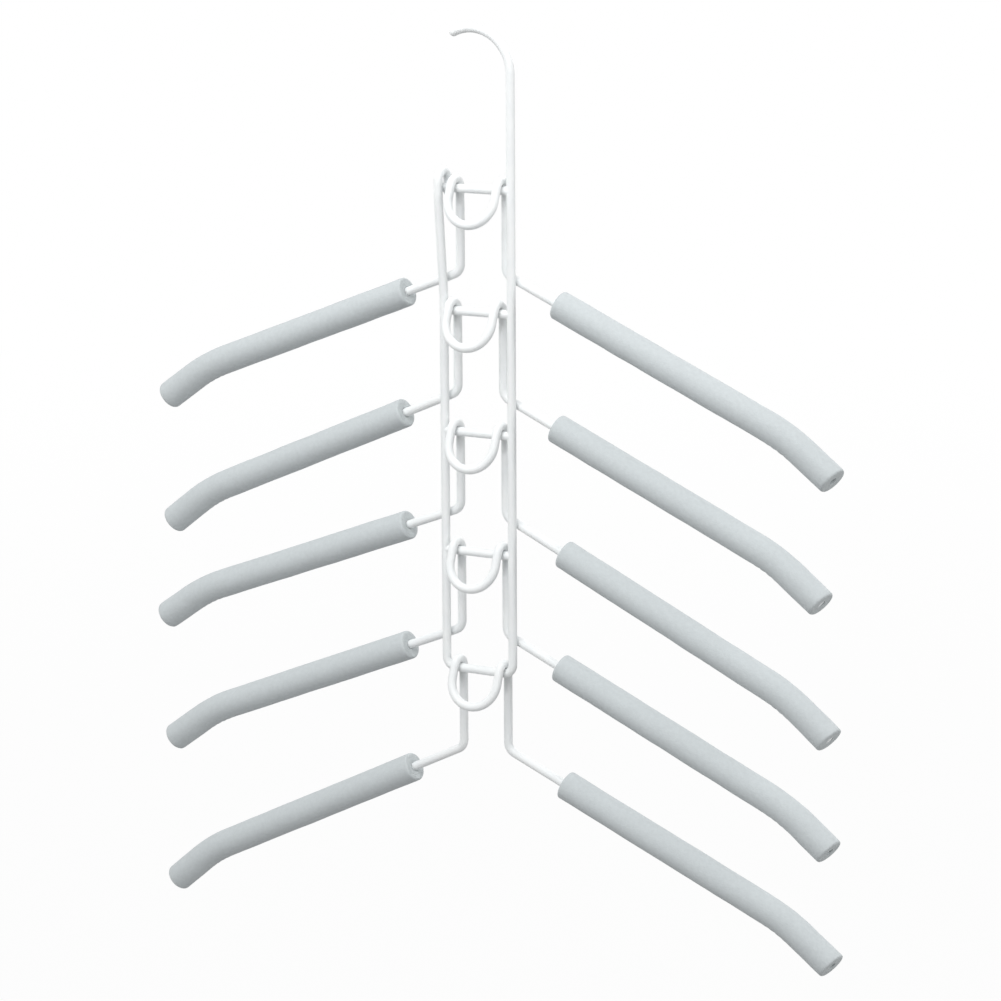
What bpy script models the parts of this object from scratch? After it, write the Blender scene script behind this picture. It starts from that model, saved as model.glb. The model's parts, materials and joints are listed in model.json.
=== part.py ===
# Folding clothes hanger: one bent frame wire with four welded rungs, and five
# wire arms hung on the rungs, each with a foam sleeve on its left and right side.
# +Z is up, +X runs along the rungs, and the arms rest behind the frame, at +Y.

import math

import bpy
import bmesh
from mathutils import Vector

OBJECT_NAME = "folding_clothes_hanger"
CUTTER_COLLECTION = "cutting_shapes"

# Wire stock and the fit between pieces
WIRE_DIAMETER = 0.0045
GAP = 0.0003
WIRE_RADIUS = WIRE_DIAMETER / 2
RING_RADIUS = WIRE_DIAMETER + GAP

# Frame
TIER_COUNT = 5
TIER_PITCH = 0.062
UPRIGHT_SPACING = 0.039
FRAME_CORNER_RADIUS = 0.0052
HOOK_RADIUS = 0.0225
HOOK_RISE = 0.0798
HOOK_SWEEP_DEG = 120

# Clasp at the top of the left upright, which leans forward to it from above the
# second rung and closes over the end of the top rung
CLASP_RISE = 0.0086
CLASP_TAIL = 0.0042
CLASP_LEAN_FOOT = 0.0550
CLASP_LEAN_HEAD = 0.0050
CLASP_LEAN_RADIUS = 0.024
RUNG_STUB = 0.0014
WIRE_END_ROUND = 0.0010

# Arms: a leg hangs from the rung, a straight slopes out and down from its foot, and
# the tip goes on from the shoulder bend
LEG_SPACING = 0.0264
LEG_DROP = 0.0424
LEG_BEND_RADIUS = 0.006
BOW_DROP = 0.0198
BOW_LEAN_DEG = 20
STRAIGHT_LENGTH = 0.1700
TIP_LENGTH = 0.0331
SHOULDER_RADIUS = 0.097
SHOULDER_BEND_DEG = 14
BARE_LENGTH = 0.0337

# No two arms are bent quite alike: one value for each tier, from the top
LEFT = -1
RIGHT = 1
SLOPES_DEG = {LEFT: (21.1, 23.2, 20.7, 22.3, 26.7), RIGHT: (24.2, 24.3, 25.4, 24.1, 23.0)}
LEG_SHARES = {LEFT: (1.01, 1.00, 0.965, 0.99, 1.03), RIGHT: (1.005, 1.01, 1.01, 1.00, 0.985)}
STRAIGHT_SHARES = {LEFT: (0.982, 0.981, 1.006, 0.992, 1.052), RIGHT: (0.998, 0.978, 1.026, 1.019, 1.003)}
BARE_SHARES = {LEFT: (1.00, 1.02, 0.99, 0.99, 0.99), RIGHT: (0.96, 0.97, 1.05, 0.97, 1.05)}
SIDE_PLAY = 0.0011
SIDE_SHIFT_SHARES = (0.7, -1.0, 0.0, 0.2, 0.7)

# Foam sleeves
SLEEVE_DIAMETER = 0.0150
SLEEVE_BORE_CLEARANCE = 0.00035
SLEEVE_END_ROUND = 0.0011
WIRE_END_INSET = 0.0006
BORE_OVERRUN = 0.004

# Roundness of the wires, sleeves and bends
WIRE_RESOLUTION = 3
SLEEVE_RESOLUTION = 6
CUTTER_RESOLUTION = 10
BORE_RESOLUTION = 4
HOOK_STEPS = 16
RING_STEPS = 8
BOW_STEPS = 6
CLASP_STEPS = 8
END_ROUND_STEPS = 2
BEND_STEP_DEG = 14
SHOULDER_STEP_DEG = 4
SMOOTH_ANGLE_DEG = 40
WELD_DISTANCE = 0.00001

HALF_SPACING = UPRIGHT_SPACING / 2
LEG_X = LEG_SPACING / 2
TOP_RUNG_Z = WIRE_RADIUS - HOOK_RISE
FRAME_X = HOOK_RADIUS - HALF_SPACING
RUNG_NAMES = ("top_rung", "second_rung", "third_rung", "fourth_rung")

WIRE_COLOUR = (0.86, 0.87, 0.87, 1.0)
FOAM_COLOUR = (0.56, 0.59, 0.59, 1.0)
WIRE_ROUGHNESS = 0.35
FOAM_ROUGHNESS = 0.95


def clear_scene():
    for obj in list(bpy.data.objects):
        bpy.data.objects.remove(obj, do_unlink=True)
    for collection in list(bpy.data.collections):
        bpy.data.collections.remove(collection)


def new_collection(name):
    collection = bpy.data.collections.new(name)
    bpy.context.scene.collection.children.link(collection)
    return collection


def new_material(name, colour, roughness):
    material = bpy.data.materials.new(name)
    material.use_nodes = True
    shader = material.node_tree.nodes["Principled BSDF"]
    shader.inputs["Base Color"].default_value = colour
    shader.inputs["Roughness"].default_value = roughness
    shader.inputs["Metallic"].default_value = 0
    material.diffuse_color = colour
    return material


def coating(name):
    """The white coating of a wire piece."""
    return new_material(name + "_coating", WIRE_COLOUR, WIRE_ROUGHNESS)


def foam(name):
    """The matt grey foam of a sleeve."""
    return new_material(name + "_foam", FOAM_COLOUR, FOAM_ROUGHNESS)


def arc(centre, across, up, radius, start_deg, stop_deg, steps):
    """Points of an arc, from start to stop, in the plane of two directions."""
    points = []
    for step in range(steps + 1):
        angle = math.radians(start_deg + (stop_deg - start_deg) * step / steps)
        points.append(centre + across * radius * math.cos(angle) + up * radius * math.sin(angle))
    return points


def rounded(points, radii, step_deg):
    """The line through the points, with each inner corner rounded to its radius."""
    line = [points[0]]
    for before, corner, after, radius in zip(points, points[1:], points[2:], radii):
        back = (before - corner).normalized()
        ahead = (after - corner).normalized()
        turn = math.pi - back.angle(ahead)
        reach = radius * math.tan(turn / 2)
        centre = corner + (back + ahead).normalized() * math.hypot(radius, reach)
        across = (corner + back * reach - centre).normalized()
        steps = max(2, math.ceil(math.degrees(turn) / step_deg))
        line += arc(centre, across, -back, radius, 0, math.degrees(turn), steps)
    line.append(points[-1])
    return line


def end_rounded(line, widths, rounding, radius):
    """The line and its widths, with the first end of the round piece along it rounded off."""
    ahead = (line[1] - line[0]).normalized()
    points = []
    shares = []
    for step in range(END_ROUND_STEPS + 1):
        angle = math.pi / 2 * step / END_ROUND_STEPS
        points.append(line[0] + ahead * rounding * (1 - math.cos(angle)))
        shares.append(1 - rounding * (1 - math.sin(angle)) / radius)
    return points + line[1:], shares + widths[1:]


def both_ends_rounded(line, rounding, radius):
    points, widths = end_rounded(line, [1] * len(line), rounding, radius)
    points, widths = end_rounded(points[::-1], widths[::-1], rounding, radius)
    return points[::-1], widths[::-1]


def wire(name, line, radius, resolution, material, collection, location, widths=None):
    """A round wire along a line, closed at both ends."""
    curve = bpy.data.curves.new(name, "CURVE")
    curve.dimensions = "3D"
    curve.bevel_depth = radius
    curve.bevel_resolution = resolution
    curve.use_fill_caps = True
    spline = curve.splines.new("POLY")
    spline.points.add(len(line) - 1)
    for index, place in enumerate(line):
        spline.points[index].co = (place.x, place.y, place.z, 1.0)
        if widths:
            spline.points[index].radius = widths[index]
    spline.use_smooth = True
    obj = bpy.data.objects.new(name, curve)
    obj.location = location
    collection.objects.link(obj)
    if material:
        curve.materials.append(material)
    return obj


def solid_wire(name, line, radius, resolution, material, collection, location, widths=None):
    """The same as a wire, but as a mesh that can be cut."""
    source = wire(name + "_line", line, radius, resolution, None, collection, location, widths)
    bpy.context.view_layer.update()
    mesh = bpy.data.meshes.new_from_object(source.evaluated_get(bpy.context.evaluated_depsgraph_get()))
    mesh.name = name
    shape = bmesh.new()
    shape.from_mesh(mesh)
    bmesh.ops.remove_doubles(shape, verts=shape.verts, dist=WELD_DISTANCE)
    bmesh.ops.recalc_face_normals(shape, faces=shape.faces)
    shape.to_mesh(mesh)
    shape.free()
    obj = bpy.data.objects.new(name, mesh)
    obj.matrix_world = source.matrix_world.copy()
    collection.objects.link(obj)
    bpy.data.objects.remove(source, do_unlink=True)
    if material:
        mesh.materials.clear()
        mesh.materials.append(material)
    mesh.shade_smooth()
    mesh.set_sharp_from_angle(angle=math.radians(SMOOTH_ANGLE_DEG))
    return obj


def as_cutter(obj):
    obj.hide_render = True
    obj.display_type = "WIRE"
    return obj


def cut(obj, cutter):
    modifier = obj.modifiers.new("cut_" + cutter.name, "BOOLEAN")
    modifier.operation = "DIFFERENCE"
    modifier.solver = "EXACT"
    modifier.object = cutter


def rung_place(tier):
    """The middle of a tier's rung."""
    return Vector((FRAME_X, 0, TOP_RUNG_Z - TIER_PITCH * tier))


def frame_line():
    """The frame wire, from the hook's tip down to the bottom bend and up to the clasp."""
    across = Vector((1, 0, 0))
    back = Vector((0, 1, 0))
    up = Vector((0, 0, 1))
    right = across * HALF_SPACING
    left = -right
    bottom = -up * TIER_PITCH * (TIER_COUNT - 1)
    hook_centre = right - across * HOOK_RADIUS + up * (HOOK_RISE - HOOK_RADIUS)
    hook = arc(hook_centre, across, up, HOOK_RADIUS, HOOK_SWEEP_DEG, 0, HOOK_STEPS)
    front = left - back * RING_RADIUS
    clasp_centre = left + up * (CLASP_RISE - RING_RADIUS)
    corners = [
        hook[-1],
        right + bottom,
        left + bottom,
        left - up * CLASP_LEAN_FOOT,
        front - up * CLASP_LEAN_HEAD,
        front + up * (CLASP_RISE - RING_RADIUS),
    ]
    radii = [FRAME_CORNER_RADIUS, FRAME_CORNER_RADIUS, CLASP_LEAN_RADIUS, CLASP_LEAN_RADIUS]
    body = rounded(corners, radii, BEND_STEP_DEG)
    clasp = arc(clasp_centre, -back, up, RING_RADIUS, 0, 180, CLASP_STEPS)
    tail = left + back * RING_RADIUS - up * CLASP_TAIL
    return hook[:-1] + body[:-1] + clasp + [tail]


def arm_corners(tier, side):
    """The foot of the leg, the shoulder bend and the tip of an arm."""
    behind = RING_RADIUS
    foot = Vector((side * LEG_X, behind, -LEG_DROP * LEG_SHARES[side][tier]))
    slope = math.radians(SLOPES_DEG[side][tier])
    steep = slope + math.radians(SHOULDER_BEND_DEG)
    outward = Vector((side * math.cos(slope), 0, -math.sin(slope)))
    downward = Vector((side * math.cos(steep), 0, -math.sin(steep)))
    shoulder = foot + outward * STRAIGHT_LENGTH * STRAIGHT_SHARES[side][tier]
    return foot, shoulder, shoulder + downward * TIP_LENGTH


def half_arm_line(tier, side):
    """One half of an arm wire, from the bottom of its bow to the arm's tip."""
    across = Vector((side, 0, 0))
    lean = math.radians(BOW_LEAN_DEG)
    forward = Vector((0, -math.cos(lean), math.sin(lean)))
    down = Vector((0, -math.sin(lean), -math.cos(lean)))
    bow_centre = forward * RING_RADIUS + down * (BOW_DROP - LEG_X)
    bow = arc(bow_centre, across, down, LEG_X, 90, 0, BOW_STEPS)
    back = Vector((0, 1, 0))
    up = Vector((0, 0, 1))
    ring = arc(across * LEG_X, back, up, RING_RADIUS, 180 - BOW_LEAN_DEG, 0, RING_STEPS)
    foot, shoulder, tip = arm_corners(tier, side)
    inset_tip = tip - (tip - shoulder).normalized() * WIRE_END_INSET
    leg = rounded([ring[-1], foot, shoulder], [LEG_BEND_RADIUS], BEND_STEP_DEG)
    tail = rounded([leg[-2], shoulder, inset_tip], [SHOULDER_RADIUS], SHOULDER_STEP_DEG)
    return bow + ring + leg[1:-1] + tail[1:]


def sleeve_line(tier, side):
    """The middle line of a sleeve, from its inner end to the arm's tip."""
    foot, shoulder, tip = arm_corners(tier, side)
    start = foot + (shoulder - foot).normalized() * BARE_LENGTH * BARE_SHARES[side][tier]
    return rounded([start, shoulder, tip], [SHOULDER_RADIUS], SHOULDER_STEP_DEG)


def bore_line(line):
    """The sleeve's middle line, run on past both ends."""
    first = line[0] + (line[0] - line[1]).normalized() * BORE_OVERRUN
    last = line[-1] + (line[-1] - line[-2]).normalized() * BORE_OVERRUN
    return [first] + line[1:-1] + [last]


def build_frame(collection):
    name = "frame_wire"
    line, widths = both_ends_rounded(frame_line(), WIRE_END_ROUND, WIRE_RADIUS)
    wire(name, line, WIRE_RADIUS, WIRE_RESOLUTION, coating(name), collection, rung_place(0), widths)


def build_upright_cutter(name, side, cutters):
    """The room that an upright takes out of the rungs' ends, from above the top rung to below the last."""
    reach = Vector((side * HALF_SPACING, 0, 0))
    head = rung_place(-1) + reach
    foot = rung_place(TIER_COUNT) + reach
    clearing = WIRE_RADIUS + GAP
    origin = Vector((0, 0, 0))
    return as_cutter(solid_wire(name, [foot, head], clearing, CUTTER_RESOLUTION, None, cutters, origin))


def build_rungs(collection, cutters):
    left_cutter = build_upright_cutter("left_upright_room", -1, cutters)
    right_cutter = build_upright_cutter("right_upright_room", 1, cutters)
    for tier, name in enumerate(RUNG_NAMES):
        in_clasp = tier == 0
        left_end = -HALF_SPACING
        if in_clasp:
            left_end -= WIRE_RADIUS + RUNG_STUB
        line = [Vector((left_end, 0, 0)), Vector((HALF_SPACING, 0, 0))]
        place = rung_place(tier)
        rung = solid_wire(name, line, WIRE_RADIUS, WIRE_RESOLUTION, coating(name), collection, place)
        cut(rung, right_cutter)
        if not in_clasp:
            cut(rung, left_cutter)


def build_sleeve(name, middle, place, collection, cutters):
    radius = SLEEVE_DIAMETER / 2
    line, widths = both_ends_rounded(middle, SLEEVE_END_ROUND, radius)
    sleeve = solid_wire(name, line, radius, SLEEVE_RESOLUTION, foam(name), collection, place, widths)
    bore_radius = WIRE_RADIUS + SLEEVE_BORE_CLEARANCE
    bore = solid_wire(name + "_bore", bore_line(middle), bore_radius, BORE_RESOLUTION, None, cutters, place)
    cut(sleeve, as_cutter(bore))


def build_tier(tier, collection, cutters):
    shift = Vector((SIDE_PLAY * SIDE_SHIFT_SHARES[tier], 0, 0))
    place = rung_place(tier)
    label = "tier_%d_" % (tier + 1)
    halves = half_arm_line(tier, LEFT)[:0:-1] + half_arm_line(tier, RIGHT)
    line = [point + shift for point in halves]
    name = label + "wire"
    wire(name, line, WIRE_RADIUS, WIRE_RESOLUTION, coating(name), collection, place)
    for side, word in ((LEFT, "left"), (RIGHT, "right")):
        middle = [point + shift for point in sleeve_line(tier, side)]
        build_sleeve(label + word + "_sleeve", middle, place, collection, cutters)


def build():
    clear_scene()
    collection = new_collection(OBJECT_NAME)
    cutters = new_collection(CUTTER_COLLECTION)
    build_frame(collection)
    build_rungs(collection, cutters)
    for tier in range(TIER_COUNT):
        build_tier(tier, collection, cutters)


build()
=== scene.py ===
# %% [markdown]
# Folding clothes hanger
#
# The hanger is steel wire in a white coating, with ten grey foam sleeves on its arms.
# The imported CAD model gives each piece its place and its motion. This file gives each
# piece its final surface: smooth round wire, welded joints, soft foam and its finish.
# We load the model first, and keep its size, because the finished pieces have to fit it.
# Lengths are in metres. Angles are given in degrees, and turned into radians where
# they are used.

# %% Load the hanger's frame
import json
import math

import bmesh
import bpy
from mathutils import Matrix, Vector, noise

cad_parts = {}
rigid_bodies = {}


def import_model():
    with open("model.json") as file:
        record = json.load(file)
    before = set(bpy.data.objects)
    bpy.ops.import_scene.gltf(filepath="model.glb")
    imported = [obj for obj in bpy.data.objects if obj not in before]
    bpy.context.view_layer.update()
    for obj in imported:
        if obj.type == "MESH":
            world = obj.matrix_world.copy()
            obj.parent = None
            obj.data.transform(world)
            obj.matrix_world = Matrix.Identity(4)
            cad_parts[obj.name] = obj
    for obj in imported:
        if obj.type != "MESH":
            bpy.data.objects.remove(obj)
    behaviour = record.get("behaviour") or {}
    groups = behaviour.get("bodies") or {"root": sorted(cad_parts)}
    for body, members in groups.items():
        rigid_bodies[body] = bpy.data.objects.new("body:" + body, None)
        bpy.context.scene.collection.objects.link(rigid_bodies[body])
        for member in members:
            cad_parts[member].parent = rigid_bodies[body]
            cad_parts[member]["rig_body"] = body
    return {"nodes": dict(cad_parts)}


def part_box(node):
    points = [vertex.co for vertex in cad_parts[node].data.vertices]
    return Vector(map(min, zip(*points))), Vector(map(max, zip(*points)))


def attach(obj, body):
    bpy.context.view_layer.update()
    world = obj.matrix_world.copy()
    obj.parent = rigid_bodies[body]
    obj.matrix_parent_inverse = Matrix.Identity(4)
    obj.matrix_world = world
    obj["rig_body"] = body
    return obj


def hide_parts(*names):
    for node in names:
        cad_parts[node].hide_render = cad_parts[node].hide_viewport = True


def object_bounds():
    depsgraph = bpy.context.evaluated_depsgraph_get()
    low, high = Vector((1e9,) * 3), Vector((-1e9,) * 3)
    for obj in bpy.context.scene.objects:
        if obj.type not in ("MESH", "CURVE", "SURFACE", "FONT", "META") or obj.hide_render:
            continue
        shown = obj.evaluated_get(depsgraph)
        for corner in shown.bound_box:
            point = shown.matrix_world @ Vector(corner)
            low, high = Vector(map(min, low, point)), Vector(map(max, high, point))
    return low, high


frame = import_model()
cad_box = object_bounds()

# %% [markdown]
# Camera
#
# The photograph was taken from the front, a little to the right and a little above,
# with a long lens, so the arms hardly shrink with distance. A camera in Blender looks
# down its own -Z axis. A Track To constraint could aim it, but it would lose the slight
# roll of the photograph. So we build the camera's three axes from the turn, the tilt
# and the roll, and set it back from the point that sits in the middle of the picture.

# %% Place the camera
SENSOR_WIDTH = 36
FOCAL_LENGTH = 115.08
CAMERA_TURN = math.radians(29.45)
CAMERA_TILT = math.radians(11.75)
CAMERA_ROLL = math.radians(-0.30)
CAMERA_DISTANCE = 1.6237
PICTURE_CENTRE = (0.003, 0, -0.20155)
SHIFT_RIGHT = 0.01116
SHIFT_UP = -0.0341

ahead = Vector((
    -math.sin(CAMERA_TURN) * math.cos(CAMERA_TILT),
    math.cos(CAMERA_TURN) * math.cos(CAMERA_TILT),
    -math.sin(CAMERA_TILT),
))
level = Vector((math.cos(CAMERA_TURN), math.sin(CAMERA_TURN), 0))
roll = Matrix.Rotation(-CAMERA_ROLL, 3, ahead)
camera_right = roll @ level
camera_up = roll @ level.cross(ahead)
aim = Vector(PICTURE_CENTRE) + camera_right * SHIFT_RIGHT + camera_up * SHIFT_UP

lens = bpy.data.cameras.new("camera")
lens.sensor_width = SENSOR_WIDTH
lens.lens = FOCAL_LENGTH
camera = bpy.data.objects.new("camera", lens)
bpy.context.scene.collection.objects.link(camera)
axes = Matrix((camera_right, camera_up, -ahead)).transposed()
camera.matrix_world = Matrix.Translation(aim - ahead * CAMERA_DISTANCE) @ axes.to_4x4()
bpy.context.scene.camera = camera
print("camera at", [round(value, 3) for value in camera.location])

# %% [markdown]
# Shared effects
#
# Two effects turn up in more than one finish, so each is built once as a node group.
# The first drifts between two colours in soft patches, as no coating or foam has
# exactly one colour. The second is a fine height pattern with a coarse and a fine
# part, which a Bump node turns into a surface that catches the light unevenly. Image
# textures could do the same, but noise has no seams, and it never repeats.

# %% Node group for patchy colour
NOISE_MIDDLE = 0.5


def new_group(name, inputs, outputs):
    """An empty node group with its sockets, whose values may be set where it is used."""
    group = bpy.data.node_groups.new(name, "ShaderNodeTree")
    for label, kind, value in inputs:
        socket = group.interface.new_socket(label, in_out="INPUT", socket_type=kind)
        if value is not None:
            socket.default_value = value
    for label, kind in outputs:
        group.interface.new_socket(label, in_out="OUTPUT", socket_type=kind)
    return group


def add_node(tree, kind, **settings):
    """A node with its settings, such as the operation of a Math node."""
    node = tree.nodes.new(kind)
    for name, value in settings.items():
        setattr(node, name, value)
    return node


def build_patchy_colour():
    """Two colours in patches, blended over a band as far as Contrast either side of 0.5."""
    group = new_group(
        "patchy_colour",
        [
            ("Vector", "NodeSocketVector", None),
            ("Main", "NodeSocketColor", (0.8, 0.8, 0.8, 1)),
            ("Other", "NodeSocketColor", (0.7, 0.7, 0.7, 1)),
            ("Scale", "NodeSocketFloat", 100.0),
            ("Contrast", "NodeSocketFloat", 0.3),
        ],
        [("Color", "NodeSocketColor")],
    )
    source = add_node(group, "NodeGroupInput")
    result = add_node(group, "NodeGroupOutput")
    patches = add_node(group, "ShaderNodeTexNoise")
    patches.inputs["Detail"].default_value = 4
    patches.inputs["Roughness"].default_value = 0.6
    spread = add_node(group, "ShaderNodeMapRange", interpolation_type="SMOOTHSTEP")
    low = add_node(group, "ShaderNodeMath", operation="SUBTRACT")
    low.inputs[0].default_value = NOISE_MIDDLE
    high = add_node(group, "ShaderNodeMath", operation="ADD")
    high.inputs[0].default_value = NOISE_MIDDLE
    blend = add_node(group, "ShaderNodeMix", data_type="RGBA")
    group.links.new(source.outputs["Vector"], patches.inputs["Vector"])
    group.links.new(source.outputs["Scale"], patches.inputs["Scale"])
    group.links.new(source.outputs["Contrast"], low.inputs[1])
    group.links.new(source.outputs["Contrast"], high.inputs[1])
    group.links.new(patches.outputs["Fac"], spread.inputs["Value"])
    group.links.new(low.outputs[0], spread.inputs["From Min"])
    group.links.new(high.outputs[0], spread.inputs["From Max"])
    group.links.new(spread.outputs["Result"], blend.inputs["Factor"])
    group.links.new(source.outputs["Main"], blend.inputs["A"])
    group.links.new(source.outputs["Other"], blend.inputs["B"])
    group.links.new(blend.outputs["Result"], result.inputs["Color"])
    return group


patchy_colour = build_patchy_colour()
print("made group", patchy_colour.name, "with", len(patchy_colour.nodes), "nodes")

# %% Node group for fine height
def build_fine_height():
    """Noise with a share of round cells in it, which are put out by themselves too."""
    group = new_group(
        "fine_height",
        [
            ("Vector", "NodeSocketVector", None),
            ("Coarse Scale", "NodeSocketFloat", 300.0),
            ("Cell Scale", "NodeSocketFloat", 1500.0),
            ("Cell Share", "NodeSocketFloat", 0.5),
        ],
        [("Height", "NodeSocketFloat"), ("Cells", "NodeSocketFloat")],
    )
    source = add_node(group, "NodeGroupInput")
    result = add_node(group, "NodeGroupOutput")
    coarse = add_node(group, "ShaderNodeTexNoise")
    coarse.inputs["Detail"].default_value = 3
    cells = add_node(group, "ShaderNodeTexVoronoi", feature="F1")
    cells.inputs["Detail"].default_value = 1
    blend = add_node(group, "ShaderNodeMix", data_type="FLOAT")
    group.links.new(source.outputs["Vector"], coarse.inputs["Vector"])
    group.links.new(source.outputs["Vector"], cells.inputs["Vector"])
    group.links.new(source.outputs["Coarse Scale"], coarse.inputs["Scale"])
    group.links.new(source.outputs["Cell Scale"], cells.inputs["Scale"])
    group.links.new(source.outputs["Cell Share"], blend.inputs["Factor"])
    group.links.new(coarse.outputs["Fac"], blend.inputs["A"])
    group.links.new(cells.outputs["Distance"], blend.inputs["B"])
    group.links.new(blend.outputs["Result"], result.inputs["Height"])
    group.links.new(cells.outputs["Distance"], result.inputs["Cells"])
    return group


fine_height = build_fine_height()
print("made group", fine_height.name, "with", len(fine_height.nodes), "nodes")

# %% [markdown]
# Helpers for a finish
#
# We match colours on a screen, but a shader counts light, so paint turns one into the
# other. Every material here starts from the same few nodes, so small helpers add them.
# Patterns could follow the faces through a UV map, but wire and foam have none worth
# unwrapping. Object coordinates are in metres and stay with a piece when it swings.

# %% Paint, patterns and relief
def paint(red, green, blue):
    """A colour as seen on screen, from 0 to 255, in the numbers that a shader takes."""
    values = []
    for share in (red / 255, green / 255, blue / 255):
        # A screen's curve starts with a short straight part and goes on as a power.
        values.append(share / 12.92 if share < 0.04 else ((share + 0.055) / 1.055) ** 2.4)
    return (*values, 1.0)


def new_material(name):
    """A material with its node tree, its Principled BSDF and the Object coordinates."""
    material = bpy.data.materials.new(name)
    material.use_nodes = True
    tree = material.node_tree
    place = add_node(tree, "ShaderNodeTexCoord")
    return material, tree, tree.nodes["Principled BSDF"], place.outputs["Object"]


def add_group(tree, group, place, **values):
    """One of the shared groups, with its values by the names of its sockets."""
    node = add_node(tree, "ShaderNodeGroup", node_tree=group)
    for name, value in values.items():
        node.inputs[name.replace("_", " ")].default_value = value
    tree.links.new(place, node.inputs["Vector"])
    return node


def add_bump(tree, shader, height, strength, distance):
    """Lets the light fall on the height pattern as if it were as deep as the distance."""
    bump = add_node(tree, "ShaderNodeBump")
    bump.inputs["Strength"].default_value = strength
    bump.inputs["Distance"].default_value = distance
    tree.links.new(height, bump.inputs["Height"])
    tree.links.new(bump.outputs["Normal"], shader.inputs["Normal"])


HEIGHT_LOW = 0.3
HEIGHT_HIGH = 0.7


def add_roughness(tree, shader, height, low, high):
    """Lets the roughness follow the height, which mostly lies between the two limits."""
    spread = add_node(tree, "ShaderNodeMapRange")
    spread.inputs["From Min"].default_value = HEIGHT_LOW
    spread.inputs["From Max"].default_value = HEIGHT_HIGH
    spread.inputs["To Min"].default_value = low
    spread.inputs["To Max"].default_value = high
    tree.links.new(height, spread.inputs["Value"])
    tree.links.new(spread.outputs["Result"], shader.inputs["Roughness"])


print("half bright on a screen is a share of light of", round(paint(128, 128, 128)[0], 3))

# %% [markdown]
# White wire coating
#
# The wire is dipped in white plastic, which dries satin: bright, with soft broad
# highlights and a barely uneven skin. A white that is not quite full leaves room for
# the highlight. The roughness wanders a little. The reflection is kept weak, because a
# strong one would turn the wire's edges as white as the background and lose them.
# A glossy shader mixed over a matte one would do too, but the Principled BSDF already
# holds both layers and the thin clear coat above them.

# %% Coating material
def white_coating():
    """Satin white, hardly patchy, with a thin coat that keeps the highlights soft."""
    material, tree, shader, place = new_material("white_coating")
    tone = add_group(
        tree, patchy_colour, place,
        Main=paint(243, 245, 245), Other=paint(238, 241, 242), Scale=90, Contrast=0.25,
    )
    relief = add_group(
        tree, fine_height, place, Coarse_Scale=420, Cell_Scale=1400, Cell_Share=0.15
    )
    tree.links.new(tone.outputs["Color"], shader.inputs["Base Color"])
    add_roughness(tree, shader, relief.outputs["Height"], low=0.34, high=0.46)
    add_bump(tree, shader, relief.outputs["Height"], strength=0.35, distance=0.00012)
    shader.inputs["Specular IOR Level"].default_value = 0.2
    shader.inputs["Coat Weight"].default_value = 0.08
    shader.inputs["Coat Roughness"].default_value = 0.18
    shader.inputs["IOR"].default_value = 1.49
    return material


coating = white_coating()
print("made material", coating.name)

# %% [markdown]
# Grey foam
#
# The sleeves are a closed-cell rubber foam. Its skin is matte, with no highlight, a
# faint bloom at the edges and a tone that drifts over a few millimetres. Where it was
# cut to length, the cells lie open and the end is pitted. One material with a mask could
# show both, but two slots keep the border on the sleeve's rim. The same two groups serve
# both, with other values. The pits dent the surface and are painted darker as shade,
# faintly on the skin and more on the cut, which makes the cut end look darker.

# %% Foam materials
# Cell distances over which the painted shade in the pits fades out, from floor to edge.
PIT_FLOOR = 0.1
PIT_EDGE = 0.55


def foam(name, main, other, contrast, cells, pit_shade, bump):
    """Foam in two tones, with cells as (scale, share) and a bump as (strength, depth)."""
    cell_scale, cell_share = cells
    bump_strength, bump_depth = bump
    material, tree, shader, place = new_material(name)
    tone = add_group(
        tree, patchy_colour, place, Main=main, Other=other, Scale=520, Contrast=contrast
    )
    relief = add_group(
        tree, fine_height, place, Coarse_Scale=380, Cell_Scale=cell_scale, Cell_Share=cell_share
    )
    # Painted shade: the colour is darkened in the cells' pits, down to the given tone at their
    # floor.
    pits = add_node(tree, "ShaderNodeMapRange")
    pits.inputs["From Min"].default_value = PIT_FLOOR
    pits.inputs["From Max"].default_value = PIT_EDGE
    pits.inputs["To Min"].default_value = pit_shade
    pits.inputs["To Max"].default_value = 1
    shade = add_node(tree, "ShaderNodeMix", data_type="RGBA", blend_type="MULTIPLY")
    shade.inputs["Factor"].default_value = 1
    tree.links.new(relief.outputs["Cells"], pits.inputs["Value"])
    tree.links.new(tone.outputs["Color"], shade.inputs["A"])
    tree.links.new(pits.outputs["Result"], shade.inputs["B"])
    tree.links.new(shade.outputs["Result"], shader.inputs["Base Color"])
    add_roughness(tree, shader, relief.outputs["Height"], low=0.86, high=0.97)
    add_bump(tree, shader, relief.outputs["Height"], bump_strength, bump_depth)
    shader.inputs["Specular IOR Level"].default_value = 0.25
    shader.inputs["Sheen Weight"].default_value = 0.12
    shader.inputs["Sheen Roughness"].default_value = 0.5
    return material


# The pits carry painted shade, faint on the skin and stronger on the cut.
foam_skin = foam(
    "foam_skin", main=paint(203, 209, 211), other=paint(195, 201, 203), contrast=0.35,
    cells=(1250, 0.55), pit_shade=0.93, bump=(0.5, 0.00025),
)
foam_cut = foam(
    "foam_cut", main=paint(206, 212, 213), other=paint(192, 198, 200), contrast=0.3,
    cells=(950, 0.75), pit_shade=0.84, bump=(0.6, 0.0004),
)
print("made materials", foam_skin.name, "and", foam_cut.name)

# %% [markdown]
# Bending wire
#
# On a bending machine, wire is fed straight ahead for a length, or turned round a pin.
# bmesh has one operator for both: spin copies a ring of edges in steps, moved by dvec
# and turned about an axis, and joins each copy to the last. So a piece of wire here is
# a list of feeds and bends, with the real lengths, radii and angles. A curve with a
# round bevel would look alike, but its bends are set by handles and not by radii.

# %% The bending machine
X_AXIS = Vector((1, 0, 0))
Y_AXIS = Vector((0, 1, 0))
Z_AXIS = Vector((0, 0, 1))


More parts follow.
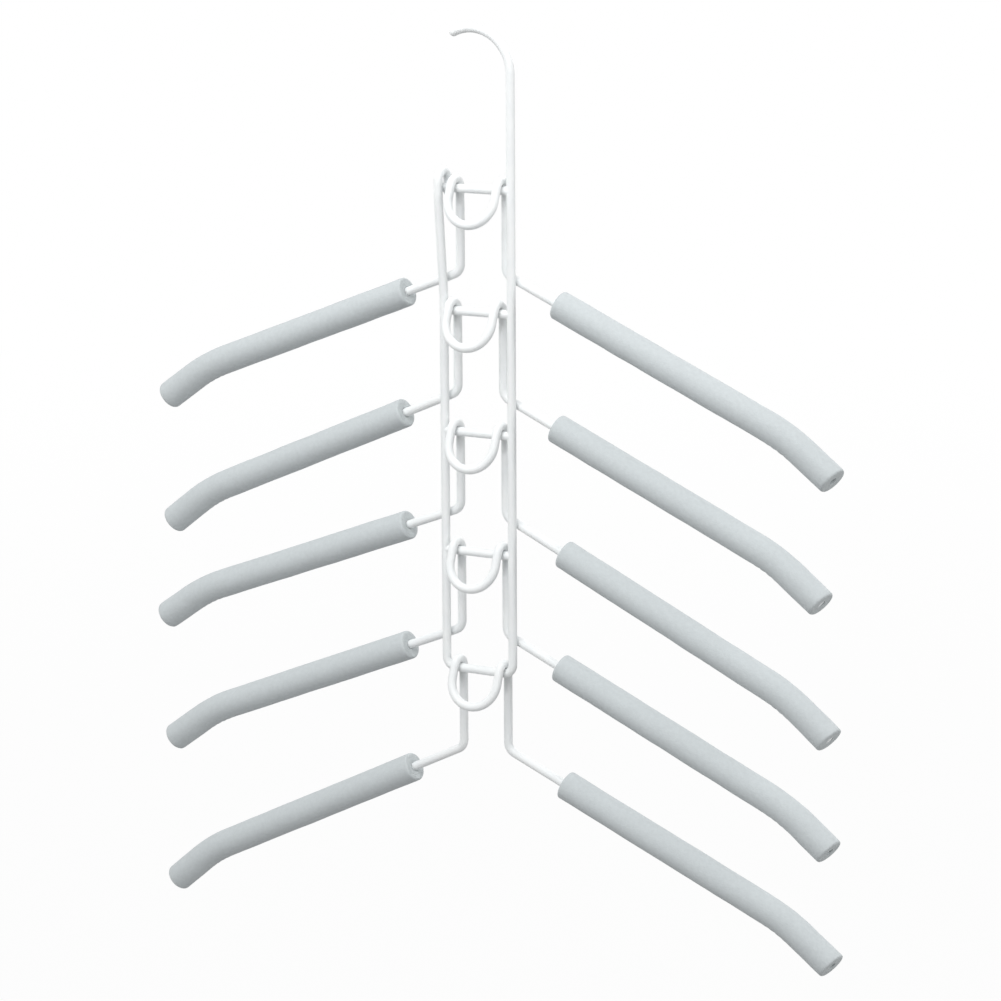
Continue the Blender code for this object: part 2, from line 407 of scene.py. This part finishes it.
class Bender:
    """A round bar, drawn by feeding its end forward and bending it round pins."""

    def __init__(self, shape, place, direction, radius, sides):
        self.shape = shape
        self.place = Vector(place)
        self.direction = Vector(direction).normalized()
        turn = self.direction.to_track_quat("Z", "Y").to_matrix().to_4x4()
        stand = Matrix.Translation(self.place) @ turn
        made = bmesh.ops.create_circle(
            shape, cap_ends=False, radius=radius, segments=sides, matrix=stand
        )
        self.points = made["verts"]
        around = (edge for point in self.points for edge in point.link_edges)
        self.edges = list(dict.fromkeys(around))
        self.first = self.edges

    def spin(self, centre, axis, step, angle, rings):
        """Copies the end ring on in steps, and takes the newest one as the end."""
        made = bmesh.ops.spin(
            self.shape, geom=self.points + self.edges,
            cent=centre, axis=axis, dvec=step, angle=angle, steps=rings,
        )
        last = made["geom_last"]
        self.points = [part for part in last if isinstance(part, bmesh.types.BMVert)]
        self.edges = [part for part in last if isinstance(part, bmesh.types.BMEdge)]

    def feed(self, length):
        """Pushes the bar straight ahead."""
        ahead = self.direction * length
        self.spin(self.place, self.direction, ahead, 0, 1)
        self.place = self.place + ahead

    def bend(self, degrees, pin_radius, axis, rings):
        """Turns the bar about an axis, round a pin that stands beside its end."""
        angle = math.radians(degrees)
        pin = self.place + axis.cross(self.direction) * pin_radius
        self.spin(pin, axis, (0, 0, 0), angle, rings)
        turn = Matrix.Rotation(angle, 3, axis)
        self.place = pin + turn @ (self.place - pin)
        self.direction = turn @ self.direction


trial = bmesh.new()
trial_bar = Bender(trial, (0, 0, 0), X_AXIS, radius=0.002, sides=12)
trial_bar.feed(0.03)
trial_bar.bend(90, pin_radius=0.01, axis=Z_AXIS, rings=6)
print("a trial bar has", len(trial.faces), "faces and ends at", trial_bar.place.to_tuple(3))
trial.free()

# %% [markdown]
# From bars to pieces
#
# A cut wire has no sharp rim, as its coating runs over the edge, so we cap its ends and
# bevel the caps. A Bevel modifier could round them, but it would find other edges too.
# A finished piece is smooth, apart from edges over an angle, and sits at the origin
# unturned, with its place in its mesh. So its pattern can't slide, and it takes the
# place of a CAD node and swings with the same body.

# %% Ends, finish and place of a piece
MERGE_DISTANCE = 0.000002
SHARP_ANGLE = math.radians(50)


def round_rim(shape, edges, rounding, segments):
    """Bevels the rim of an end."""
    bmesh.ops.bevel(
        shape, geom=edges, offset=rounding, offset_type="OFFSET", segments=segments,
        profile=0.5, affect="EDGES", clamp_overlap=True, material=-1,
    )


def close_end(shape, rim, rounding):
    """Caps an end of a bar, and rounds the cap's rim."""
    cap = bmesh.ops.edgeloop_fill(shape, edges=rim)["faces"][0]
    if rounding:
        round_rim(shape, list(cap.edges), rounding, segments=6)


def finish_piece(shape, name, materials):
    """A mesh object at the origin from a bmesh, with its faces outwards."""
    bmesh.ops.remove_doubles(shape, verts=shape.verts, dist=MERGE_DISTANCE)
    bmesh.ops.recalc_face_normals(shape, faces=shape.faces)
    mesh = bpy.data.meshes.new(name)
    shape.to_mesh(mesh)
    shape.free()
    for material in materials:
        mesh.materials.append(material)
    mesh.shade_smooth()
    mesh.set_sharp_from_angle(angle=SHARP_ANGLE)
    piece = bpy.data.objects.new(name, mesh)
    bpy.context.scene.collection.objects.link(piece)
    return piece


def millimetres(lengths):
    """Lengths rounded for a printout."""
    return [round(length * 1000, 1) for length in lengths]


def stands_for(piece, node):
    """The piece takes the place of a CAD node, and moves with the same body."""
    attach(piece, frame["nodes"][node]["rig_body"])
    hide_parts(node)
    low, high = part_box(node)
    made, model = millimetres(piece.dimensions), millimetres(high - low)
    print(piece.name, len(piece.data.polygons), "faces", made, "CAD", model)


print("points nearer than", MERGE_DISTANCE * 1000, "mm become one")

# %% [markdown]
# Frame wire
#
# One wire makes the hook, the right upright, the bottom rung and the left upright. The
# left upright leans forward a little from above the second rung, and its end turns over
# the top rung, which closes it into a small clasp. We could join separate bends, but
# one unbroken line has no seams to hide. All its heights are measured from the middle
# of the top rung, which we read from the CAD: the hook and the clasp rise above it, and
# the lean's foot and head lie below it. We start at the hook's tip, and its first ring
# is a wide step, so that the rounding of the tip has room.

# %% Measure the frame wire
WIRE_RADIUS = 0.00225
RING_RADIUS = 0.0048
WIRE_SIDES = 28
TIER_PITCH = 0.062
TIER_COUNT = 5
HALF_SPACING = 0.0195
CORNER_RADIUS = 0.0052
HOOK_RADIUS = 0.0225
HOOK_RISE = 0.0798
HOOK_SWEEP = 120
HOOK_FIRST_STEP = 6
CLASP_RISE = 0.0086
CLASP_TAIL = 0.0042
LEAN_FOOT = 0.0550
LEAN_HEAD = 0.0050
LEAN_RADIUS = 0.024
END_ROUND = 0.0016
HOOK_RINGS = 46
CORNER_RINGS = 16
LEAN_RINGS = 5
LOOP_RINGS = 28

frame_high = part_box("frame_wire")[1]
rung_low, rung_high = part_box("top_rung")
top_rung = Vector((frame_high.x - WIRE_RADIUS - HALF_SPACING, 0, (rung_low.z + rung_high.z) / 2))
print("middle of the top rung:", top_rung.to_tuple(5))

# %% Bend the frame wire
def build_frame_wire():
    """From the hook's tip over the top, down, across, up and round the clasp."""
    shape = bmesh.new()
    sweep = math.radians(HOOK_SWEEP)
    out = X_AXIS * math.cos(sweep) + Z_AXIS * math.sin(sweep)
    along = X_AXIS * math.sin(sweep) - Z_AXIS * math.cos(sweep)
    pin = top_rung + X_AXIS * (HALF_SPACING - HOOK_RADIUS) + Z_AXIS * (HOOK_RISE - HOOK_RADIUS)
    bar = Bender(shape, pin + out * HOOK_RADIUS, along, WIRE_RADIUS, WIRE_SIDES)
    ladder = TIER_PITCH * (TIER_COUNT - 1)
    bar.bend(HOOK_FIRST_STEP, HOOK_RADIUS, Y_AXIS, 1)
    bar.bend(HOOK_SWEEP - HOOK_FIRST_STEP, HOOK_RADIUS, Y_AXIS, HOOK_RINGS)
    bar.feed(HOOK_RISE - HOOK_RADIUS + ladder - CORNER_RADIUS)
    bar.bend(90, CORNER_RADIUS, Y_AXIS, CORNER_RINGS)
    bar.feed(HALF_SPACING * 2 - CORNER_RADIUS * 2)
    bar.bend(90, CORNER_RADIUS, Y_AXIS, CORNER_RINGS)
    lean = math.atan2(RING_RADIUS, LEAN_FOOT - LEAN_HEAD)
    reach = LEAN_RADIUS * math.tan(lean / 2)
    bar.feed(ladder - CORNER_RADIUS - LEAN_FOOT - reach)
    bar.bend(math.degrees(lean), LEAN_RADIUS, X_AXIS, LEAN_RINGS)
    bar.feed(math.hypot(RING_RADIUS, LEAN_FOOT - LEAN_HEAD) - reach * 2)
    bar.bend(math.degrees(lean), LEAN_RADIUS, -X_AXIS, LEAN_RINGS)
    bar.feed(LEAN_HEAD - reach + CLASP_RISE - RING_RADIUS)
    bar.bend(180, RING_RADIUS, -X_AXIS, LOOP_RINGS)
    bar.feed(CLASP_RISE - RING_RADIUS + CLASP_TAIL)
    close_end(shape, bar.first, END_ROUND)
    close_end(shape, bar.edges, END_ROUND)
    return finish_piece(shape, "frame_wire_coated", [coating])


stands_for(build_frame_wire(), "frame_wire")

# %% [markdown]
# Welded rungs
#
# Each rung's end is welded to the upright, and the coating fills the corner between
# them with a small smooth fillet. A boolean union would join the two wires, but it
# leaves a hard corner and ragged faces. So we draw a few rings at each welded end, lay
# them on the upright's round side, and let them flare where the corner is. The shares
# say how far off the upright each ring lies, from the fillet's rim to its root. At its
# sides the rung is as thick as the upright, so nothing flares there. The top rung's
# left end isn't welded: it pokes out through the clasp as a short stub.

# %% Build the rungs
WELD_FILLET = 0.0008
WELD_SINK = 0.0003
FILLET_SHARES = (1, 0.7, 0.45, 0.25, 0.1, 0)
RUNG_STUB = 0.0014
STUB_ROUND = 0.0011


def lay_on_upright(points, middle, side, share):
    """Lays a ring against the upright, flared and a share of the fillet away from it."""
    away = WELD_FILLET * share if share else -WELD_SINK
    flare = WELD_FILLET - WELD_FILLET * math.sqrt(1 - (1 - share) ** 2)
    for point in points:
        across = point.co - middle
        depth = math.sqrt(max(0.0, WIRE_RADIUS ** 2 - across.y ** 2))
        height = depth + flare * (depth / WIRE_RADIUS) ** 2
        point.co.x = middle.x + side * (HALF_SPACING - depth - away)
        point.co.z = middle.z + math.copysign(height, across.z)


def build_rung(name, tier):
    """From the left upright, or from the stub in the clasp, to the right upright."""
    shape = bmesh.new()
    in_clasp = tier == 0
    middle = top_rung - Z_AXIS * TIER_PITCH * tier
    left = HALF_SPACING + WIRE_RADIUS + RUNG_STUB if in_clasp else HALF_SPACING
    bar = Bender(shape, middle - X_AXIS * left, X_AXIS, WIRE_RADIUS, WIRE_SIDES)
    if in_clasp:
        bar.feed(WIRE_RADIUS)
    else:
        lay_on_upright(bar.points, middle, -1, FILLET_SHARES[-1])
        for share in FILLET_SHARES[-2::-1]:
            bar.feed(WELD_FILLET)
            lay_on_upright(bar.points, middle, -1, share)
    for share in FILLET_SHARES:
        bar.feed(WELD_FILLET)
        lay_on_upright(bar.points, middle, 1, share)
    close_end(shape, bar.first, STUB_ROUND if in_clasp else 0)
    close_end(shape, bar.edges, 0)
    return finish_piece(shape, name + "_coated", [coating])


for tier, name in enumerate(("top_rung", "second_rung", "third_rung", "fourth_rung")):
    stands_for(build_rung(name, tier), name)

# %% [markdown]
# Arm wires
#
# One wire makes a whole tier. From the left tip it runs in to the leg, climbs it, turns
# over the rung, drops into the bow, comes back up, turns over the rung again, goes down
# the right leg and out to the right tip. One arm could be mirrored and copied, but on
# the real hanger no two arms are alike. Slopes, lengths and the tiers' places along
# their rungs all differ a little, so they are lists with a value for each tier, from
# the top one down. The wire ends a little inside its sleeve, by the inset.

# %% Measure the arm wires
LEFT = -1
RIGHT = 1
LEG_X = 0.0132
LEG_BEND_RADIUS = 0.006
BOW_DROP = 0.0198
BOW_LEAN = 20
SHOULDER_RADIUS = 0.097
SHOULDER_BEND = 14
SHOULDER_REACH = SHOULDER_RADIUS * math.tan(math.radians(SHOULDER_BEND) / 2)
SIDE_SHIFTS = (0.00077, -0.0011, 0, 0.00022, 0.00077)
SLOPES = {
    LEFT: (21.1, 23.2, 20.7, 22.3, 26.7),
    RIGHT: (24.2, 24.3, 25.4, 24.1, 23.0),
}
TIP_LENGTHS = {
    LEFT: (0.0317, 0.0318, 0.0313, 0.0334, 0.0319),
    RIGHT: (0.0316, 0.0319, 0.0301, 0.0298, 0.0330),
}
WIRE_END_INSETS = {
    LEFT: (0.0010, 0.0008, 0.0012, 0.0006, 0.0014),
    RIGHT: (0.0016, 0.0005, 0.0002, 0.0018, 0.0016),
}


def per_tier(length, left_shares, right_shares):
    """A length for each tier and side, from a usual length and each one's share of it."""
    return {
        LEFT: [length * share for share in left_shares],
        RIGHT: [length * share for share in right_shares],
    }


LEG_DROP = 0.0424
STRAIGHT_LENGTH = 0.1700
LEG_DROPS = per_tier(
    LEG_DROP, (1.01, 1.00, 0.965, 0.99, 1.03), (1.005, 1.01, 1.01, 1.00, 0.985)
)
STRAIGHTS = per_tier(
    STRAIGHT_LENGTH,
    (0.982, 0.981, 1.006, 0.992, 1.052),
    (0.998, 0.978, 1.026, 1.019, 1.003),
)
print("left legs", millimetres(LEG_DROPS[LEFT]), "right legs", millimetres(LEG_DROPS[RIGHT]))

# %% Bend the arm wires
ARM_END_ROUND = 0.0006
SHOULDER_RINGS = 8
LEG_BEND_RINGS = 14
BOW_RINGS = 36


def heading(side, degrees):
    """The direction of an arm that goes out to one side and down by an angle."""
    angle = math.radians(degrees)
    return X_AXIS * side * math.cos(angle) - Z_AXIS * math.sin(angle)


def leg_bend_reach(tier, side):
    """How much of the leg and of the arm's straight the bend between them uses up."""
    return LEG_BEND_RADIUS * math.tan(math.radians(90 - SLOPES[side][tier]) / 2)


def shoulder_place(tier, side):
    """The corner of the shoulder bend, where the lines of the straight and the tip meet."""
    rung = top_rung - Z_AXIS * TIER_PITCH * tier + X_AXIS * SIDE_SHIFTS[tier]
    foot = rung + X_AXIS * side * LEG_X + Y_AXIS * RING_RADIUS - Z_AXIS * LEG_DROPS[side][tier]
    return foot + heading(side, SLOPES[side][tier]) * STRAIGHTS[side][tier]


def tip_run(tier, side):
    """The straight length of wire past the shoulder bend."""
    return TIP_LENGTHS[side][tier] - SHOULDER_REACH - WIRE_END_INSETS[side][tier]


def build_arm_wire(name, tier):
    """From the left tip in and up, round the rung, the bow and the rung, to the right tip."""
    shape = bmesh.new()
    left_run = tip_run(tier, LEFT)
    outward = heading(LEFT, SLOPES[LEFT][tier] + SHOULDER_BEND)
    start = shoulder_place(tier, LEFT) + outward * (SHOULDER_REACH + left_run)
    bar = Bender(shape, start, -outward, WIRE_RADIUS, WIRE_SIDES)
    bar.feed(left_run)
    bar.bend(SHOULDER_BEND, SHOULDER_RADIUS, Y_AXIS, SHOULDER_RINGS)
    bar.feed(STRAIGHTS[LEFT][tier] - SHOULDER_REACH - leg_bend_reach(tier, LEFT))
    bar.bend(90 - SLOPES[LEFT][tier], LEG_BEND_RADIUS, -Y_AXIS, LEG_BEND_RINGS)
    bar.feed(LEG_DROPS[LEFT][tier] - leg_bend_reach(tier, LEFT))
    bar.bend(180 - BOW_LEAN, RING_RADIUS, X_AXIS, LOOP_RINGS)
    bar.feed(BOW_DROP - LEG_X)
    bar.bend(180, LEG_X, bar.direction.cross(X_AXIS), BOW_RINGS)
    bar.feed(BOW_DROP - LEG_X)
    bar.bend(180 - BOW_LEAN, RING_RADIUS, -X_AXIS, LOOP_RINGS)
    bar.feed(LEG_DROPS[RIGHT][tier] - leg_bend_reach(tier, RIGHT))
    bar.bend(90 - SLOPES[RIGHT][tier], LEG_BEND_RADIUS, -Y_AXIS, LEG_BEND_RINGS)
    bar.feed(STRAIGHTS[RIGHT][tier] - SHOULDER_REACH - leg_bend_reach(tier, RIGHT))
    bar.bend(SHOULDER_BEND, SHOULDER_RADIUS, Y_AXIS, SHOULDER_RINGS)
    bar.feed(tip_run(tier, RIGHT))
    close_end(shape, bar.first, ARM_END_ROUND)
    close_end(shape, bar.edges, ARM_END_ROUND)
    return finish_piece(shape, name + "_coated", [coating])


for tier in range(TIER_COUNT):
    name = "tier_%d_wire" % (tier + 1)
    stands_for(build_arm_wire(name, tier), name)

# %% [markdown]
# Foam sleeves
#
# A sleeve is a thick foam tube, pushed over the arm and bent with it. A Solidify
# modifier would give the wall too, but two tubes, one for the skin and one for the
# bore, let us shape the cut ends. We bridge the two rims at each end. The bore is drawn
# a hair shorter, which dishes the ends, because for two rims in one plane it is left to
# chance which way round bridge_loops goes. The right tips were cut a little askew, so
# we turn their last ring, and give it a short run, to leave the rest of the tip true.

# %% Build a sleeve's tube
SLEEVE_RADIUS = 0.0075
SLEEVE_SIDES = 56
BARE_LENGTH = 0.0337
BARE_LENGTHS = per_tier(
    BARE_LENGTH, (0.985, 1.005, 0.98, 1.00, 0.995), (0.96, 0.98, 1.09, 1.00, 1.07)
)
BORE_RADIUS = 0.00232
END_DISH = 0.0002
END_RUN = 0.004
CUT_SLANT = {LEFT: 0, RIGHT: 7.5}
SLEEVE_BEND_RINGS = 18
SKIN = 0
CUT = 1


def draw_sleeve_tube(shape, tier, side, radius, inset, material):
    """The skin or the bore, which starts and ends inside the sleeve's ends by the inset."""
    before = set(shape.faces)
    ahead = heading(side, SLOPES[side][tier])
    straight = STRAIGHTS[side][tier] - BARE_LENGTHS[side][tier] - inset
    bar = Bender(shape, shoulder_place(tier, side) - ahead * straight, ahead, radius, SLEEVE_SIDES)
    bar.feed(straight - SHOULDER_REACH)
    bar.bend(SHOULDER_BEND, SHOULDER_RADIUS, Y_AXIS * side, SLEEVE_BEND_RINGS)
    bar.feed(TIP_LENGTHS[side][tier] - SHOULDER_REACH - END_RUN)
    bar.feed(END_RUN - inset)
    slant = Matrix.Rotation(math.radians(CUT_SLANT[side]), 3, Y_AXIS.cross(bar.direction))
    bmesh.ops.rotate(shape, cent=bar.place, matrix=slant, verts=bar.points)
    for face in set(shape.faces) - before:
        face.material_index = material
    return bar


def bridge(shape, skin_rim, bore_rim):
    """Joins the skin to the bore at one end, with the faces of the cut."""
    made = bmesh.ops.bridge_loops(shape, edges=skin_rim + bore_rim)
    for face in made["faces"]:
        face.material_index = CUT


for side, word in ((LEFT, "left"), (RIGHT, "right")):
    print("bare wire up to the", word, "sleeves:", millimetres(BARE_LENGTHS[side]))

# %% [markdown]
# Uneven foam
#
# No foam is quite round. Its skin has shallow lumps and a fine grain, and under the
# shoulder, where bending crowds the foam, lie a few faint folds. A bump in the material
# would shade them, but only moved points change the outline. So we cut the skin's long
# faces into rings about a millimetre apart, and push its points in and out by noise.

# %% Cut the skin into rings
RING_SPACING = 0.0012
LONG_RUN = RING_SPACING * 4


def cut_into_rings(shape):
    """Divides the skin's long runs into rings about a millimetre apart."""
    runs = {}
    for edge in shape.edges:
        on_skin = all(face.material_index == SKIN for face in edge.link_faces)
        length = edge.calc_length()
        if on_skin and length > LONG_RUN:
            runs.setdefault(round(length / RING_SPACING), []).append(edge)
    for count, edges in runs.items():
        bmesh.ops.subdivide_edges(shape, edges=edges, cuts=count - 1, use_grid_fill=True)


print("ring spacing and shortest run that is cut:", millimetres((RING_SPACING, LONG_RUN)))

# %% Make the skin uneven
LUMP_DEPTH = 0.00016
LUMP_SCALE = 70
GRAIN_DEPTH = 0.00005
GRAIN_SCALE = 420
FOLD_DEPTH = 0.00035
FOLD_SPACING = 0.0042
FOLD_REACH = FOLD_SPACING * 1.8


def fold_depth(point, normal, pin, middle):
    """How deep the folds are at a point: only on skin that faces the shoulder bend's pin."""
    away = point - pin
    away.y = 0
    if away.length > SHOULDER_RADIUS * 2:
        return 0
    facing = max(0.0, -normal.dot(away.normalized()))
    along = away.dot(middle) / away.length * SHOULDER_RADIUS
    fade = math.exp(-(along / FOLD_REACH) ** 2)
    wave = 0.5 + 0.5 * math.cos(math.tau * along / FOLD_SPACING)
    return FOLD_DEPTH * facing ** 2 * fade * wave


def make_uneven(shape, tier, side):
    """Pushes the points of the skin along their normals, by lumps, grain and folds."""
    ahead = heading(side, SLOPES[side][tier])
    bend_start = shoulder_place(tier, side) - ahead * SHOULDER_REACH
    pin = bend_start + (Y_AXIS * side).cross(ahead) * SHOULDER_RADIUS
    middle = heading(side, SLOPES[side][tier] + SHOULDER_BEND / 2)
    shape.normal_update()
    moves = []
    for point in shape.verts:
        if any(face.material_index == SKIN for face in point.link_faces):
            lump = noise.noise(point.co * LUMP_SCALE) * LUMP_DEPTH
            grain = noise.noise(point.co * GRAIN_SCALE) * GRAIN_DEPTH
            fold = fold_depth(point.co, point.normal, pin, middle)
            moves.append((point, point.normal * (lump + grain - fold)))
    for point, move in moves:
        point.co += move


print("lumps up to", LUMP_DEPTH * 1000, "mm, folds up to", FOLD_DEPTH * 1000, "mm")

# %% [markdown]
# Ten sleeves
#
# We round the rims of the skin before it is cut into rings, because a bevel follows a
# whole rim best while its faces are long. The bore's mouth at the sleeve's inner end is
# eased too, where the wire goes in, and at the tip it stays crisp, as it was cut.

# %% Build the ten sleeves
END_ROUND_FOAM = 0.0012
BORE_ROUND = 0.0006


def build_sleeve(name, tier, side):
    """Two tubes, bridged and eased at their ends, and then made uneven."""
    shape = bmesh.new()
    skin = draw_sleeve_tube(shape, tier, side, SLEEVE_RADIUS, 0, SKIN)
    bore = draw_sleeve_tube(shape, tier, side, BORE_RADIUS, END_DISH, CUT)
    bridge(shape, skin.first, bore.first)
    bridge(shape, skin.edges, bore.edges)
    bmesh.ops.recalc_face_normals(shape, faces=shape.faces)
    round_rim(shape, skin.first + skin.edges, END_ROUND_FOAM, segments=4)
    round_rim(shape, bore.first, BORE_ROUND, segments=2)
    cut_into_rings(shape)
    make_uneven(shape, tier, side)
    return finish_piece(shape, name + "_soft", [foam_skin, foam_cut])


for tier in range(TIER_COUNT):
    for side, word in ((LEFT, "left"), (RIGHT, "right")):
        name = "tier_%d_%s_sleeve" % (tier + 1, word)
        sleeve = build_sleeve(name, tier, side)
        stands_for(sleeve, name)

# %% [markdown]
# Floor
#
# The hanger hangs in the air over a plain pale grey floor, which is far enough down
# that only a soft shadow reaches it. To the camera and in reflections the floor glows
# almost white, so the background stays as pale as in the photograph, but it throws no
# more light on the hanger than a grey sheet would. A sheet that is really white would
# be simpler, but it would light the sleeves' undersides and flatten them. Far away the
# floor fades into the world.

# %% Tell what looks at a surface
def seen_directly(tree):
    """1 where the camera or a reflection looks straight at the surface, otherwise 0."""
    path = add_node(tree, "ShaderNodeLightPath")
    glossy = add_node(tree, "ShaderNodeMath", operation="MAXIMUM")
    clear = add_node(tree, "ShaderNodeMath", operation="MAXIMUM")
    tree.links.new(path.outputs["Is Camera Ray"], glossy.inputs[0])
    tree.links.new(path.outputs["Is Glossy Ray"], glossy.inputs[1])
    tree.links.new(glossy.outputs[0], clear.inputs[0])
    tree.links.new(path.outputs["Is Transmission Ray"], clear.inputs[1])
    return clear.outputs[0]


print("the floor and the world glow for camera, glossy and transmission rays alone")

# %% Lay the floor
FLOOR_DROP = 0.6
FLOOR_SIZE = 30
FLOOR_TONE = paint(165, 165, 165)
FADE_START = 1
FADE_END = 6
GLOW_SHARE = 0.97


def pale_floor():
    """Matte grey for the light. To the eye it glows nearly white, and wholly so far off."""
    material = bpy.data.materials.new("pale_floor")
    material.use_nodes = True
    tree = material.node_tree
    tree.nodes.remove(tree.nodes["Principled BSDF"])
    result = tree.nodes["Material Output"]
    matte = add_node(tree, "ShaderNodeBsdfDiffuse")
    matte.inputs["Color"].default_value = FLOOR_TONE
    glow = add_node(tree, "ShaderNodeEmission")
    place = add_node(tree, "ShaderNodeTexCoord")
    distance = add_node(tree, "ShaderNodeVectorMath", operation="LENGTH")
    share = add_node(tree, "ShaderNodeMapRange", interpolation_type="SMOOTHSTEP")
    share.inputs["From Min"].default_value = FADE_START
    share.inputs["From Max"].default_value = FADE_END
    share.inputs["To Min"].default_value = GLOW_SHARE
    share.inputs["To Max"].default_value = 1
    gate = add_node(tree, "ShaderNodeMath", operation="MULTIPLY")
    blend = add_node(tree, "ShaderNodeMixShader")
    tree.links.new(place.outputs["Object"], distance.inputs[0])
    tree.links.new(distance.outputs["Value"], share.inputs["Value"])
    tree.links.new(share.outputs["Result"], gate.inputs[0])
    tree.links.new(seen_directly(tree), gate.inputs[1])
    tree.links.new(gate.outputs[0], blend.inputs["Fac"])
    tree.links.new(matte.outputs["BSDF"], blend.inputs[1])
    tree.links.new(glow.outputs["Emission"], blend.inputs[2])
    tree.links.new(blend.outputs["Shader"], result.inputs["Surface"])
    return material


sheet = bmesh.new()
bmesh.ops.create_grid(sheet, x_segments=1, y_segments=1, size=FLOOR_SIZE / 2)
floor_mesh = bpy.data.meshes.new("floor")
sheet.to_mesh(floor_mesh)
sheet.free()
floor_mesh.materials.append(pale_floor())
floor = bpy.data.objects.new("floor", floor_mesh)
floor.location.z = cad_box[0].z - FLOOR_DROP
bpy.context.scene.collection.objects.link(floor)
print("floor at", round(floor.location.z, 3))

# %% [markdown]
# Light
#
# Soft studio light. A panel high in front hangs so near that it fades down the five
# tiers, as the light in the photograph does, and gives the sleeves their bright tops.
# A small low one in front draws a bright line down each upright wire. Panels at the
# sides light the cut ends, one behind lifts the back, and an even pale world fills the
# rest. A photograph of a studio could light the scene as well, but panels can be set
# one by one. The world looks white to the camera, but lights at its own level.

# %% Set the lights
PANELS = (
    # name, place, size in metres, power in watts
    ("top_panel", (0, -0.58, 0.58), 0.8, 7.2),
    ("front_panel", (-0.07, -1.47, -0.55), 0.35, 3.2),
    ("right_panel", (1.56, 0.14, 0.08), 0.9, 7.0),
    ("left_panel", (-1.58, 0.1, 0.1), 0.9, 2.2),
    ("back_panel", (0.2, 1.35, 0.45), 1.2, 6.5),
)


def add_panel(name, place, size, power):
    """A square light panel that faces the middle of the hanger."""
    light = bpy.data.lights.new(name, "AREA")
    light.size = size
    light.energy = power
    panel = bpy.data.objects.new(name, light)
    panel.location = place
    centre = (cad_box[0] + cad_box[1]) / 2
    panel.rotation_euler = (centre - panel.location).to_track_quat("-Z", "Y").to_euler()
    bpy.context.scene.collection.objects.link(panel)


for panel in PANELS:
    add_panel(*panel)

# %% Fill the world
WORLD_FILL = 0.53

world = bpy.data.worlds.new("studio")
world.use_nodes = True
bpy.context.scene.world = world
tree = world.node_tree
fill = tree.nodes["Background"]
fill.inputs["Color"].default_value = (1, 1, 1, 1)
fill.inputs["Strength"].default_value = WORLD_FILL
white = add_node(tree, "ShaderNodeBackground")
white.inputs["Color"].default_value = (1, 1, 1, 1)
blend = add_node(tree, "ShaderNodeMixShader")
tree.links.new(seen_directly(tree), blend.inputs["Fac"])
tree.links.new(fill.outputs["Background"], blend.inputs[1])
tree.links.new(white.outputs["Background"], blend.inputs[2])
tree.links.new(blend.outputs["Shader"], tree.nodes["World Output"].inputs["Surface"])
bpy.context.scene.view_settings.view_transform = "Standard"
print("the world lights the hanger at", WORLD_FILL, "and looks white")

# %% [markdown]
# Size
#
# The finished hanger has to stay the size of the CAD model, so we write down the CAD
# model's box.

# %% Write the CAD model's size
print("CAD box", millimetres(cad_box[1] - cad_box[0]))
